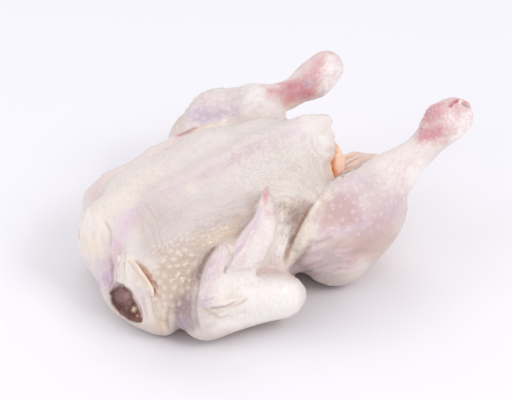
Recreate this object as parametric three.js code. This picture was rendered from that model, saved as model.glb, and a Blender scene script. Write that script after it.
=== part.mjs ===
// Whole raw chicken, plucked and drawn, lying on its back with the breast up.
// Millimetres. +X runs from the neck end to the hocks and +Z up through the breast.
// -Y is the bird's right side, whose wing stands against the breast. The back rests on z = 0.
// The shape is laid out about the keel, and the finished mesh is moved so that the middle of
// its box's bottom face is the origin.
//
// The flesh is one solid. Each muscle and bone end is a rounded shape given by its distance
// function, the shapes are blended as skin joins them, and the surface where the distance is
// zero becomes one closed mesh.

import * as THREE from "three";

// ---------------------------------------------------------------- driving dimensions

const keelTop = 86; // highest point of the breast above the table
const bodyHalfWidth = 57; // ribs, at the widest
const lobeRadius = 33; // breast muscle at its fullest
const calfRadius = 20.5; // drumstick at its fullest
const ankleRadius = 8.6; // drumstick at its thinnest
const hockRadius = 12.2; // knuckle at the end of the drumstick
const forearmRadius = 11;
const cavityDepth = 62; // how far the body cavity runs in from the vent

const cell = 2.6; // spacing of the sampling grid
const fleshTriangles = 11200;

const V = (x, y, z) => new THREE.Vector3(x, y, z);

// Skeleton: where each joint lies, for both sides. The flank is the radius of the breast
// muscle where the thigh presses on it, which it does harder on the right.
const right = {
  side: -1,
  flank: 24.5,
  shoulder: V(-75, -53, 20),
  elbow: V(-32, -70, 24),
  wrist: V(-78, -63, 38),
  handBone: [V(-57, -60, 57), V(-45, -56.5, 64.5), V(-33, -50, 70.5)],
  palm: [V(-53, -60, 54), V(-39, -56, 61), V(-30, -50, 69)],
  fingertip: V(-22.5, -43, 78),
  thumb: [V(-74, -62, 53), V(-67, -58, 62)],
  hip: V(52, -36, 25),
  thigh: V(24, -52, 24),
  knee: V(0, -61, 45),
  calf: V(27, -62, 54),
  shin: V(58, -61, 66),
  ankle: V(87, -60, 76),
  hock: V(103, -60, 87.5),
  hockEnd: V(112, -60, 89),
};
const left = {
  side: 1,
  flank: 27,
  shoulder: V(-74, 50, 22),
  elbow: V(-26, 70, 24),
  wrist: V(-70, 62, 39),
  handBone: [V(-50, 58, 54), V(-34, 57, 61), V(-17, 56, 66)],
  palm: [V(-48, 61, 50), V(-31, 60, 56.5), V(-15, 58, 63)],
  fingertip: V(0, 54.5, 70),
  thumb: [V(-64, 60, 51), V(-56, 57, 58)],
  hip: V(52, 38, 25),
  thigh: V(24, 54, 28),
  knee: V(6, 65, 54),
  calf: V(27, 68, 61),
  shin: V(57, 69, 62),
  ankle: V(86, 69, 61),
  hock: V(107, 67, 67),
  hockEnd: V(117, 66, 73),
};

// ---------------------------------------------------------------- distance functions

const lengthOf = (x, y, z) => Math.sqrt(x * x + y * y + z * z);
const mix = (a, b, t) => a + (b - a) * t;

// A ball of radius ra at a, a ball of radius rb at b, and the cone that wraps both.
function taper(a, b, ra, rb) {
  const ax = b.clone().sub(a);
  const l2 = ax.lengthSq();
  const dr = ra - rb;
  const a2 = l2 - dr * dr;
  return (x, y, z) => {
    const px = x - a.x;
    const py = y - a.y;
    const pz = z - a.z;
    const along = px * ax.x + py * ax.y + pz * ax.z;
    const past = along - l2;
    const cx = px * l2 - ax.x * along;
    const cy = py * l2 - ax.y * along;
    const cz = pz * l2 - ax.z * along;
    const x2 = cx * cx + cy * cy + cz * cz;
    const y2 = along * along * l2;
    const z2 = past * past * l2;
    const k = Math.sign(dr) * dr * dr * x2;
    if (Math.sign(past) * a2 * z2 > k) return Math.sqrt(x2 + z2) / l2 - rb;
    if (Math.sign(along) * a2 * y2 < k) return Math.sqrt(x2 + y2) / l2 - ra;
    return (Math.sqrt((x2 * a2) / l2) + along * dr) / l2 - ra;
  };
}

// A chain of tapers through points, each with its radius.
function limb(...stations) {
  const parts = [];
  for (let i = 1; i < stations.length; i++) {
    const [a, ra] = stations[i - 1];
    const [b, rb] = stations[i];
    parts.push(taper(a, b, ra, rb));
  }
  return blend(5, ...parts);
}

// An ellipsoid whose own X, Y and Z axes are turned by yaw, pitch and roll, in degrees.
function lobe(centre, radii, yaw = 0, pitch = 0, roll = 0) {
  const turn = new THREE.Euler(...[roll, pitch, yaw].map(THREE.MathUtils.degToRad), "ZYX");
  const m = new THREE.Matrix4().makeRotationFromEuler(turn).transpose().elements;
  const [rx, ry, rz] = radii;
  return (x, y, z) => {
    const dx = x - centre.x;
    const dy = y - centre.y;
    const dz = z - centre.z;
    const u = m[0] * dx + m[4] * dy + m[8] * dz;
    const v = m[1] * dx + m[5] * dy + m[9] * dz;
    const w = m[2] * dx + m[6] * dy + m[10] * dz;
    const k0 = lengthOf(u / rx, v / ry, w / rz);
    const k1 = lengthOf(u / (rx * rx), v / (ry * ry), w / (rz * rz));
    return k1 < 1e-9 ? -Math.min(rx, ry, rz) : (k0 * (k0 - 1)) / k1;
  };
}

// A shape pressed flat towards the plane through origin, to thin times its thickness.
function pressed(shape, origin, normal, thin) {
  const n = normal.clone().normalize();
  const stretch = 1 / thin - 1;
  return (x, y, z) => {
    const h = (x - origin.x) * n.x + (y - origin.y) * n.y + (z - origin.z) * n.z;
    const s = h * stretch;
    return shape(x + n.x * s, y + n.y * s, z + n.z * s) * mix(1, thin, 0.5);
  };
}

// Joins shapes with a fillet about k wide.
function blend(k, ...shapes) {
  return (x, y, z) => {
    let d = shapes[0](x, y, z);
    for (let i = 1; i < shapes.length; i++) {
      const e = shapes[i](x, y, z);
      const h = Math.max(k - Math.abs(d - e), 0) / k;
      d = Math.min(d, e) - (h * h * k) / 4;
    }
    return d;
  };
}

// Takes tools out of a shape, with a rounded edge about k wide.
function carve(k, shape, ...tools) {
  return (x, y, z) => {
    let d = shape(x, y, z);
    for (const tool of tools) {
      const e = -tool(x, y, z);
      const h = Math.max(k - Math.abs(d - e), 0) / k;
      d = Math.max(d, e) + (h * h * k) / 4;
    }
    return d;
  };
}

// ---------------------------------------------------------------- the bird

// The two breast muscles with the keel between them, the ribs under them and the back.
function torso() {
  const breast = [right, left].map(({ side, flank }) =>
    limb(
      [V(-84, 23 * side, 39), 20],
      [V(-56, 26 * side, 42), lobeRadius - 2],
      [V(-6, 25 * side, 47), lobeRadius],
      [V(25, (flank - 10) * side, 53), flank],
      [V(45, 6 * side, 66), 12],
    ),
  );
  const keel = limb(
    [V(-92, 0, 50), 8],
    [V(-62, 0, 63), 12],
    [V(-30, 0, 67), 12],
    [V(4, 0, keelTop - 12), 11.5],
    [V(44, 0, keelTop - 8), 7.5],
    [V(60, -1, keelTop - 6), 4],
  );
  const ribs = lobe(V(-28, 0, 32), [74, bodyHalfWidth, 33]);
  const back = lobe(V(-10, 0, 15), [90, 42, 17]);
  const pelvis = lobe(V(54, 0, 22), [38, 38, 21]);
  const crop = lobe(V(-90, 21, 39), [15.5, 21, 25], 20, 10);
  const neckSkin = lobe(V(-88, -30, 26), [12, 21, 24], -20, 10);
  const collar = lobe(V(-88, -10, 14.5), [22.5, 31, 14.5]);
  return blend(11, ribs, back, pelvis, ...breast, keel, crop, neckSkin, collar);
}

// The tail, and the folds of belly fat that lie round the vent.
function rump() {
  const root = lobe(V(84, 0, 20), [22, 20, 13], 0, -12);
  const tip = lobe(V(102, 0, 29), [12, 11, 6], 0, -28);
  const tail = blend(6, root, tip);
  const folds = [
    lobe(V(70, -18, 30), [22, 7, 12], 14, -20, 14),
    lobe(V(80, -6, 31), [22, 7.5, 12], 6, -14, 6),
    lobe(V(83, 9, 28), [22, 8, 12], -6, -10, -8),
  ];
  return blend(4, tail, ...folds);
}

function leg(s) {
  const thigh = limb([s.hip, 23], [s.thigh, 22], [s.knee, 15]);
  const drumstick = limb(
    [s.knee, 17],
    [s.calf, calfRadius],
    [s.shin, 14],
    [s.ankle, ankleRadius],
    [s.hock, hockRadius],
    [s.hockEnd, hockRadius],
  );
  const ham = lobe(V(44, 54 * s.side, 36), [34, 20, 25], 0, -25);
  return blend(9, thigh, drumstick, ham);
}

function wing(s) {
  const flatOf = V(-0.2, 0.78 * s.side, 0.59);
  const upperArm = limb([s.shoulder, 16], [s.elbow.clone().setZ(s.elbow.z - 4), 10]);
  const armpit = lobe(V(-56, 52 * s.side, 22), [26, 11, 12], -12 * s.side);
  const elbowPoint = s.elbow.clone().add(V(7, 4 * s.side, -1));
  const forearm = limb([s.wrist, forearmRadius - 1], [s.elbow, forearmRadius], [elbowPoint, 6]);
  const frontSkin = limb([s.wrist, forearmRadius - 1], [s.shoulder, 13]);
  const arm = blend(8, upperArm, armpit, forearm, frontSkin);
  const palm = limb(
    [s.wrist, 11],
    [s.palm[0], 11],
    [s.palm[1], 10.5],
    [s.palm[2], 5.4],
    [s.fingertip, 1.2],
  );
  const bone = limb(
    [s.wrist, 9.5],
    [s.handBone[0], 5.5],
    [s.handBone[1], 4.6],
    [s.handBone[2], 3.2],
    [s.fingertip, 1.3],
  );
  const thumb = limb([s.wrist, 9], [s.thumb[0], 6.5], [s.thumb[1], 4.2]);
  return blend(3, arm, blend(4, pressed(palm, s.palm[1], flatOf, 0.45), bone), thumb);
}

// The opened torso with its legs and wings.
function bird() {
  const vent = lobe(V(86, 0, 51), [52, 46, 25]);
  const cavity = limb([V(70, 0, 52), 19], [V(90 - cavityDepth, 0, 46), 14]);
  const neckHole = lobe(V(-107, -14.5, 17.5), [24, 15, 9.5], 8, -6);
  const neckStub = lobe(V(-85, -8, 14), [13, 9, 7.5]);
  const neckFlap = pressed(
    limb([V(-99, -14, 45), 9], [V(-102, -24, 40), 9], [V(-103, -33, 32), 3.5]),
    V(-102, -24, 40),
    V(-0.75, -0.55, 0.35),
    0.5,
  );
  const web = limb([V(-19, -48, 54), 8], [V(-21, -53, 42), 8.5], [V(-27, -57, 31), 7]);
  const kneeWeb = limb([V(-21, -54, 38), 6], [V(-6, -56, 42), 7]);
  const opened = blend(3, carve(4, torso(), vent, cavity, neckHole), rump());
  const legged = blend(4, opened, leg(right), leg(left));
  const skinned = blend(3, legged, web, kneeWeb, neckStub, neckFlap);
  return blend(2.5, skinned, wing(right), wing(left));
}

// ---------------------------------------------------------------- meshing

const reach = new THREE.Box3(V(-130, -100, -6), V(150, 102, 124));

// The surface where distance is zero, as a closed mesh. Every grid cell is cut into six
// tetrahedra, and each one the surface crosses gives one triangle or two.
function surfaceOf(distance) {
  const size = reach.getSize(V(0, 0, 0));
  const [nx, ny, nz] = [size.x, size.y, size.z].map((s) => Math.ceil(s / cell) + 1);
  const step = [1, nx, nx * ny];
  const place = (n) => {
    const [i, j, k] = [n % nx, Math.floor(n / nx) % ny, Math.floor(n / step[2])];
    return V(i, j, k).multiplyScalar(cell).add(reach.min);
  };
  const values = new Float32Array(nx * ny * nz);
  values.forEach((_, n) => {
    values[n] = distance(...place(n).toArray()) || 1e-6;
  });
  const points = [];
  const found = new Map();
  const crossing = (n, m) => {
    const key = Math.min(n, m) * values.length + Math.max(n, m);
    if (!found.has(key)) {
      found.set(key, points.length);
      points.push(place(n).lerp(place(m), values[n] / (values[n] - values[m])));
    }
    return found.get(key);
  };
  const faces = [];
  const routes = [[0, 1, 2], [1, 2, 0], [2, 0, 1], [0, 2, 1], [2, 1, 0], [1, 0, 2]];
  for (let n = 0; n < values.length - step[0] - step[1] - step[2]; n++) {
    if (n % nx === nx - 1 || Math.floor(n / nx) % ny === ny - 1) continue;
    routes.forEach((route, r) => {
      const corners = [n];
      for (const axis of route) corners.push(corners.at(-1) + step[axis]);
      const inner = corners.filter((c) => values[c] < 0);
      const outer = corners.filter((c) => values[c] >= 0);
      if (!inner.length || !outer.length) return;
      const order = [...inner, ...outer].map((c) => corners.indexOf(c));
      let flip = r > 2;
      for (let i = 0; i < 4; i++) for (let j = 0; j < i; j++) if (order[j] > order[i]) flip = !flip;
      const ring =
        inner.length === 2
          ? [[0, 0], [0, 1], [1, 1], [1, 0]].map(([i, j]) => crossing(inner[i], outer[j]))
          : inner.flatMap((c) => outer.map((o) => crossing(c, o)));
      if (flip) ring.reverse();
      for (let i = 2; i < ring.length; i++) faces.push([ring[0], ring[i - 1], ring[i]]);
    });
  }
  for (const p of points) settle(p, distance);
  return { points, faces: outerShell(faces) };
}

// The largest connected set of faces, which leaves out the walls of any space closed inside.
function outerShell(faces) {
  const around = new Map();
  faces.forEach((f, index) =>
    f.forEach((i) => around.set(i, [...(around.get(i) ?? []), index])),
  );
  const seen = new Uint8Array(faces.length);
  let largest = [];
  faces.forEach((_, start) => {
    if (seen[start]) return;
    seen[start] = 1;
    const shell = [start];
    for (const index of shell)
      for (const i of faces[index])
        for (const next of around.get(i)) {
          if (seen[next]) continue;
          seen[next] = 1;
          shell.push(next);
        }
    if (shell.length > largest.length) largest = shell;
  });
  return largest.map((index) => faces[index]);
}

// Moves a point onto the surface along the gradient of distance.
function settle(p, distance) {
  const h = 0.05;
  for (let step = 0; step < 3; step++) {
    const d = distance(p.x, p.y, p.z);
    const g = V(
      distance(p.x + h, p.y, p.z) - d,
      distance(p.x, p.y + h, p.z) - d,
      distance(p.x, p.y, p.z + h) - d,
    ).divideScalar(h);
    const move = THREE.MathUtils.clamp(d / Math.max(g.lengthSq(), 0.25), -cell / 3, cell / 3);
    p.addScaledVector(g, -move);
  }
}

// Merges edges, flattest first, until about wanted triangles are left. Each pass merges edges
// that share no neighbour, and keeps the surface closed and its faces the same way round.
function simplified({ points, faces }, wanted) {
  const addPlane = (q, n, d, weight) => {
    const v = [n.x, n.y, n.z, d];
    let i = 0;
    for (let r = 0; r < 4; r++) for (let c = r; c < 4; c++) q[i++] += weight * v[r] * v[c];
  };
  const errorAt = (q, p) =>
    q[0] * p.x * p.x + 2 * q[1] * p.x * p.y + 2 * q[2] * p.x * p.z + 2 * q[3] * p.x +
    q[4] * p.y * p.y + 2 * q[5] * p.y * p.z + 2 * q[6] * p.y +
    q[7] * p.z * p.z + 2 * q[8] * p.z + q[9];
  const best = (q, a, b) => {
    const m = new THREE.Matrix3().set(q[0], q[1], q[2], q[1], q[4], q[5], q[2], q[5], q[7]);
    const middle = a.clone().lerp(b, 0.5);
    if (Math.abs(m.determinant()) < 1e-4) return middle;
    const p = V(-q[3], -q[6], -q[8]).applyMatrix3(m.invert());
    return p.distanceTo(middle) < a.distanceTo(b) ? p : middle;
  };
  const normalOf = (a, b, c) => b.clone().sub(a).cross(c.clone().sub(a));
  const evenness = 2e-3; // keeps long flat triangles from forming
  const quadrics = points.map(() => new Float64Array(10));
  for (const f of faces) {
    const n = normalOf(...f.map((i) => points[i]));
    const area = n.length() / 2;
    n.normalize();
    const d = -n.dot(points[f[0]]);
    for (const i of f) addPlane(quadrics[i], n, d, area);
  }
  while (faces.length > wanted) {
    const around = points.map(() => []);
    faces.forEach((f, index) => f.forEach((i) => around[i].push(index)));
    const neighbours = (i) => new Set(around[i].flatMap((f) => faces[f]).filter((j) => j !== i));
    const edges = [];
    for (const f of faces)
      for (const [a, b] of [[f[0], f[1]], [f[1], f[2]], [f[2], f[0]]]) {
        if (a > b) continue;
        const q = quadrics[a].map((v, i) => v + quadrics[b][i]);
        const to = best(q, points[a], points[b]);
        const cost = errorAt(q, to) + evenness * points[a].distanceToSquared(points[b]) ** 1.5;
        edges.push({ a, b, to, cost });
      }
    edges.sort((e, f) => e.cost - f.cost);
    const locked = new Uint8Array(points.length);
    const gone = new Uint8Array(faces.length);
    const most = Math.min(faces.length - wanted, faces.length * 0.16);
    let removed = 0;
    for (const { a, b, to } of edges) {
      if (removed >= most) break;
      if (locked[a] || locked[b]) continue;
      const [na, nb] = [neighbours(a), neighbours(b)];
      const shared = [...na].filter((i) => nb.has(i));
      if (shared.length !== 2) continue;
      const turned = [...around[a], ...around[b]].some((index) => {
        const f = faces[index];
        if (f.includes(a) && f.includes(b)) return false;
        const before = normalOf(...f.map((i) => points[i]));
        const after = normalOf(...f.map((i) => (i === a || i === b ? to : points[i])));
        return before.dot(after) < 0.5 * before.length() * after.length();
      });
      if (turned) continue;
      for (const index of around[b]) {
        const f = faces[index];
        if (f.includes(a)) {
          gone[index] = 1;
          removed++;
        } else f[f.indexOf(b)] = a;
      }
      points[a] = to;
      quadrics[b].forEach((v, i) => (quadrics[a][i] += v));
      for (const i of [a, b, ...na, ...nb]) locked[i] = 1;
    }
    if (!removed) break;
    faces = faces.filter((_, index) => !gone[index]);
  }
  return { points, faces };
}

function geometryOf({ points, faces }) {
  const used = new Map();
  const position = [];
  const index = faces.flat().map((i) => {
    if (!used.has(i)) {
      used.set(i, used.size);
      position.push(...points[i].toArray());
    }
    return used.get(i);
  });
  const geometry = new THREE.BufferGeometry();
  geometry.setAttribute("position", new THREE.Float32BufferAttribute(position, 3));
  geometry.setIndex(index);
  return geometry;
}

// ---------------------------------------------------------------- assembly

const flesh = simplified(
  surfaceOf(carve(1.5, bird(), (x, y, z) => z)),
  fleshTriangles,
);
for (const p of flesh.points) if (p.z < 0.1) p.z = 0; // the back rests flat

const body = geometryOf(flesh);
body.computeBoundingBox();
const middle = body.boundingBox.getCenter(V(0, 0, 0));
body.translate(-middle.x, -middle.y, -body.boundingBox.min.z);

const chicken = new THREE.Group();
const skin = new THREE.MeshStandardMaterial({ color: 0xecd9cf, roughness: 0.45, metalness: 0 });
const whole = new THREE.Mesh(body, skin);
whole.name = "chicken";
chicken.add(whole);

export default chicken;
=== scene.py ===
import itertools

import bpy
import numpy as np
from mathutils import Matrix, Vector
from mathutils.bvhtree import BVHTree
from mathutils.kdtree import KDTree


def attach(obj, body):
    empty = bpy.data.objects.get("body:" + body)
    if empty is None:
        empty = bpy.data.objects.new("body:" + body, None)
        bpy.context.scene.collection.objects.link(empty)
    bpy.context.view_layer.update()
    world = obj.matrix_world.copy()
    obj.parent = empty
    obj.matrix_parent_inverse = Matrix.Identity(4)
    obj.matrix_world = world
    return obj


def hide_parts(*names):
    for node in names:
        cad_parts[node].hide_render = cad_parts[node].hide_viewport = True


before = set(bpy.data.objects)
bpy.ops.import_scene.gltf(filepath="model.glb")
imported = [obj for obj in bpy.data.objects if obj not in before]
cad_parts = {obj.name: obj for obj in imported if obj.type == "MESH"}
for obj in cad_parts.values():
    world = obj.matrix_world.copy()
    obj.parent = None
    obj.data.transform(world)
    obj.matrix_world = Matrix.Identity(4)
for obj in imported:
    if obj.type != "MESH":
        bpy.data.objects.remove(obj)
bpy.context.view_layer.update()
mm = 0.001

camera = {
    "place": (-0.53798, -0.6697, 0.5456),
    "look": (0.53697, 0.67298, -0.50869),
    "lens": 112.5,  # mm, as is the sensor
    "sensor": 36,
    "width": 512,  # pixels, as is the height
    "height": 400,
}


def deselect():
    bpy.ops.object.select_all(action="DESELECT")


def makeCamera():
    turn = Vector(camera["look"]).to_track_quat("-Z", "Y")
    bpy.ops.object.camera_add(location=camera["place"], rotation=turn.to_euler())
    eye = bpy.context.active_object
    eye.data.lens = camera["lens"]
    eye.data.sensor_width = camera["sensor"]
    eye.data.clip_start = 0.05
    bpy.context.scene.camera = eye


makeCamera()
eyeTurn = Vector(camera["look"]).to_track_quat("-Z", "Y").to_matrix()
eyePlace = Vector(camera["place"])
eyeAt = np.array(eyePlace) / mm
usualDepth = 0.94  # metres from the camera to the bird's near side
pixels = camera["lens"] / camera["sensor"] * camera["width"]  # in a metre that is a metre away


# Direction from the camera through a point of its view, in pixels from the top left.
def sightLine(u, v):
    x = (u - camera["width"] / 2) / pixels
    y = (camera["height"] / 2 - v) / pixels
    return (eyeTurn @ Vector((x, y, -1))).normalized()


print("camera done")


lights = {
    "key": {"at": (0.3, -1.25, 1.15), "size": 0.8, "power": 9, "color": (1, 0.99, 0.97)},
    "left": {"at": (-1.4, 0.3, 0.8), "size": 1.0, "power": 7, "color": (0.98, 0.98, 1)},
    "glint": {"at": (0.1, -1.35, 1.2), "size": 0.12, "power": 1.6, "color": (1, 1, 1)},
    "back": {"at": (0.5, 1.0, 1.3), "size": 1.3, "power": 5.5, "color": (1, 0.99, 1)},
}
sky = {"color": (0.965, 0.96, 1), "strength": 0.68}
floorColor = (0.88, 0.87, 0.905)


def makeLights():
    for name, light in lights.items():
        turn = (-Vector(light["at"])).to_track_quat("-Z", "Y").to_euler()
        bpy.ops.object.light_add(type="AREA", location=light["at"], rotation=turn)
        lamp = bpy.context.active_object
        lamp.name = name
        lamp.data.size = light["size"]
        lamp.data.energy = light["power"]
        lamp.data.color = light["color"]
    world = bpy.data.worlds.new("sky")
    world.use_nodes = True
    background = world.node_tree.nodes["Background"]
    background.inputs["Color"].default_value = (*sky["color"], 1)
    background.inputs["Strength"].default_value = sky["strength"]
    bpy.context.scene.world = world
    bpy.context.scene.view_settings.view_transform = "Standard"


def makeFloor():
    bpy.ops.mesh.primitive_plane_add(size=8)
    floor = bpy.context.active_object
    floor.name = "floor"
    paper = bpy.data.materials.new("paper")
    paper.use_nodes = True
    surface = paper.node_tree.nodes["Principled BSDF"]
    surface.inputs["Base Color"].default_value = (*floorColor, 1)
    surface.inputs["Roughness"].default_value = 0.8
    floor.data.materials.append(paper)


makeLights()
makeFloor()
print("light done")


skin = {
    "voxel": 2.28,  # mm between points, before any part is made finer
    "smoothing": 2,
    "wetness": 0.25,  # where nothing else says so
    "faceDepth": 2,  # mm that a face may lie behind the nearest one and still show
    "pointDepth": 1.5,  # the same for a point
    "step": 1.5,  # between the points of a line laid on it, in the line's own units
    "jump": 7,  # mm, past which a step of such a line has left the surface
}


def copyOfNode(name):
    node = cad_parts[name]
    copy = node.copy()
    copy.data = node.data.copy()
    copy.name = "skin"
    copy.data.materials.clear()
    bpy.context.collection.objects.link(copy)
    deselect()
    copy.hide_set(False)
    copy.hide_render = False
    copy.select_set(True)
    bpy.context.view_layer.objects.active = copy
    return copy


def addModifier(kind, **settings):
    bpy.ops.object.modifier_add(type=kind)
    modifier = bpy.context.object.modifiers[-1]
    for key, value in settings.items():
        setattr(modifier, key, value)
    bpy.ops.object.modifier_apply(modifier=modifier.name)


def makeBody():
    body = copyOfNode("chicken")
    bpy.ops.object.mode_set(mode="EDIT")
    bpy.ops.mesh.select_all(action="SELECT")
    bpy.ops.mesh.remove_doubles(threshold=1e-6)
    bpy.ops.object.mode_set(mode="OBJECT")
    addModifier("SUBSURF", levels=1)
    addModifier("REMESH", mode="VOXEL", voxel_size=skin["voxel"] * mm)
    addModifier("SMOOTH", factor=0.5, iterations=skin["smoothing"])
    bpy.ops.object.shade_smooth()
    return body


body = makeBody()
hull = BVHTree.FromObject(body, bpy.context.evaluated_depsgraph_get())
print("body done", len(body.data.vertices), "points", len(body.data.polygons), "faces")


# Where each row of points, in mm, shows in the camera's view, in pixels.
def inView(at):
    turned = (at * mm - np.array(eyePlace)) @ np.array(eyeTurn)
    u = camera["width"] / 2 - turned[:, 0] / turned[:, 2] * pixels
    v = camera["height"] / 2 + turned[:, 1] / turned[:, 2] * pixels
    return np.stack([u, v], axis=1)


# Which spots of the view lie in an outline of it.
def inside(spots, outline):
    odd = np.zeros(len(spots), dtype=bool)
    u, v = spots[:, 0], spots[:, 1]
    for (u0, v0), (u1, v1) in zip(outline, outline[1:] + outline[:1]):
        if v0 == v1:
            continue
        crosses = (v0 > v) != (v1 > v)
        odd ^= crosses & (u < (u1 - u0) * (v - v0) / (v1 - v0) + u0)
    return odd


# Splits the faces that show in an outline of the view.
def refine(outline):
    mesh = body.data
    count = len(mesh.polygons)
    middle = np.empty(count * 3)
    normal = np.empty(count * 3)
    mesh.polygons.foreach_get("center", middle)
    mesh.polygons.foreach_get("normal", normal)
    middle = middle.reshape(-1, 3) / mm
    toEye = eyeAt - middle
    facing = (normal.reshape(-1, 3) * toEye).sum(axis=1) > 0
    near = inside(inView(middle), outline) & facing
    for index in np.nonzero(near)[0]:
        spot = middle[index] * mm
        ray = Vector(spot) - eyePlace
        hit = hull.ray_cast(eyePlace, ray.normalized())[3]
        near[index] = hit is None or hit > ray.length - skin["faceDepth"] * mm
    deselect()
    body.select_set(True)
    bpy.context.view_layer.objects.active = body
    bpy.ops.object.mode_set(mode="EDIT")
    bpy.ops.mesh.select_mode(type="FACE")
    bpy.ops.mesh.select_all(action="DESELECT")
    bpy.ops.object.mode_set(mode="OBJECT")
    mesh.polygons.foreach_set("select", near)
    bpy.ops.object.mode_set(mode="EDIT")
    bpy.ops.mesh.subdivide(number_cuts=1, smoothness=0)
    bpy.ops.object.mode_set(mode="OBJECT")


# The whole view first, then the skin with the finest relief.
fineParts = {
    "view": [(60, 30), (500, 30), (500, 360), (60, 360)],
    "goosebumps": [(150, 244), (164, 234), (205, 226), (232, 232), (256, 205), (266, 183),
                   (278, 203), (304, 200), (300, 226), (288, 264), (256, 276), (222, 292),
                   (198, 312), (158, 308), (151, 280)],
    "neck": [(96, 258), (110, 238), (130, 252), (160, 262), (157, 300), (152, 326),
             (122, 318), (104, 296)],
    "vent": [(330, 144), (380, 148), (380, 160), (346, 182), (328, 198), (312, 200),
             (318, 186), (330, 176)],
    "hock": [(414, 96), (476, 96), (476, 146), (414, 146)],
}
for outline in fineParts.values():
    refine(outline)
print("refined", len(body.data.vertices), "points", len(body.data.polygons), "faces")


# The skin's points in mm, their normals, and what is painted on them.
mesh = body.data
points = np.empty(len(mesh.vertices) * 3)
mesh.vertices.foreach_get("co", points)
points = points.reshape(-1, 3) / mm
normals = np.empty(len(mesh.vertices) * 3)
mesh.vertices.foreach_get("normal", normals)
normals = normals.reshape(-1, 3)
edges = np.empty(len(mesh.edges) * 2, dtype=np.int64)
mesh.edges.foreach_get("vertices", edges)
edges = edges.reshape(-1, 2)
rest = points.copy()
viewSpots = inView(rest)
lift = np.zeros(len(rest))  # how far each point is moved out along its normal, in mm
tint = np.zeros((len(rest), 3))
wet = np.full(len(rest), skin["wetness"])


# Soft random cloud between -1 and 1, about `size` mm from bump to bump.
def cloud(at, size, seed):
    grid = at / size
    base = np.floor(grid).astype(np.int64)
    part = grid - base
    part = part * part * (3 - 2 * part)
    total = np.zeros(len(at))
    for corner in itertools.product((0, 1), repeat=3):
        place = base + corner
        mixed = place[:, 0] * 73856093 ^ place[:, 1] * 19349663 ^ place[:, 2] * 83492791
        mixed = (mixed ^ (seed * 2654435 + 977)) & 0x7FFFFFFF
        mixed = ((mixed ^ (mixed >> 13)) * 1274126177) & 0x7FFFFFFF
        share = np.where(corner, part, 1 - part).prod(axis=1)
        total += share * ((mixed >> 7) % 10007 / 5003.5 - 1)
    return total


def ease(low, high, x):
    t = np.clip((x - low) / (high - low), 0, 1)
    return t * t * (3 - 2 * t)


# Averages each value with its neighbours' along the mesh.
def spread(values, times):
    total = np.bincount(edges.ravel(), minlength=len(points)).astype(float)
    for _ in range(times):
        gathered = np.bincount(edges[:, 0], values[edges[:, 1]], len(points))
        gathered += np.bincount(edges[:, 1], values[edges[:, 0]], len(points))
        values = 0.5 * values + 0.5 * gathered / np.maximum(total, 1)
    return values


def findSeen():
    toEye = eyeAt - rest
    far = np.linalg.norm(toEye, axis=1)
    seen = (normals * toEye).sum(axis=1) > 0
    for index in np.nonzero(seen)[0]:
        ray = -Vector(toEye[index]).normalized()
        hit = hull.ray_cast(eyePlace, ray)[3]
        seen[index] = hit is None or hit > (far[index] - skin["pointDepth"]) * mm
    return seen


seen = findSeen()
print("seen", seen.sum())
shown = ease(0.02, 0.45, spread(seen.astype(float), 14))  # the same, with a soft border


# A point of the skin: two numbers are a spot in the camera's view, three are mm.
def spotAt(point, depth=usualDepth):
    if len(point) == 3:
        hit, normal = hull.find_nearest(Vector(point) * mm)[:2]
    else:
        ray = sightLine(*point)
        hit, normal = hull.ray_cast(eyePlace, ray)[:2]
        if hit is None:
            hit, normal = hull.find_nearest(eyePlace + ray * depth)[:2]
    return np.array(hit) / mm, np.array(normal)


# A smooth line through points of one kind, laid on the skin.
def trail(corners):
    corners = [np.array(c, dtype=float) for c in corners]
    ends = [2 * corners[0] - corners[1], *corners, 2 * corners[-1] - corners[-2]]
    spots = []
    for a, b, c, d in zip(ends, ends[1:], ends[2:], ends[3:]):
        steps = max(2, int(np.linalg.norm(c - b) / skin["step"]))
        for t in np.arange(steps) / steps:
            spots.append(
                b + 0.5 * t * (c - a + t * (2 * a - 5 * b + 4 * c - d + t * (3 * (b - c) + d - a)))
            )
    spots.append(corners[-1])
    laid = []
    depth = usualDepth
    for spot in spots:
        laid.append(spotAt(tuple(spot), depth))
        depth = (Vector(laid[-1][0]) * mm - eyePlace).length
    return np.array([at for at, _ in laid]), np.array([normal for _, normal in laid])


# The skin's points near a line: their numbers, distance and place along it.
def along(line, reach):
    spots, facing = line
    low, high = spots.min(axis=0) - reach, spots.max(axis=0) + reach
    index = np.nonzero(((rest > low) & (rest < high)).all(axis=1))[0]
    near = rest[index]
    best = np.full(len(index), 1e9)
    place = np.zeros(len(index))
    agree = np.zeros(len(index))
    for i, (a, b) in enumerate(zip(spots, spots[1:])):
        run = b - a
        length = np.linalg.norm(run)
        if length > skin["jump"] or length < 1e-6:
            continue
        t = np.clip((near - a) @ run / length**2, 0, 1)
        off = near - a - t[:, None] * run
        far = np.linalg.norm(off, axis=1)
        closer = far < best
        best[closer] = far[closer]
        place[closer] = i + t[closer]
        agree[closer] = (normals[index] @ facing[i])[closer]
    kept = (best < reach) & (agree > 0.15)
    return index[kept], best[kept], place[kept] / (len(spots) - 1)


def linear(color):
    color = np.array(color) / 255
    return np.where(color < 0.04045, color / 12.92, ((color + 0.055) / 1.055) ** 2.4)


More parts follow.
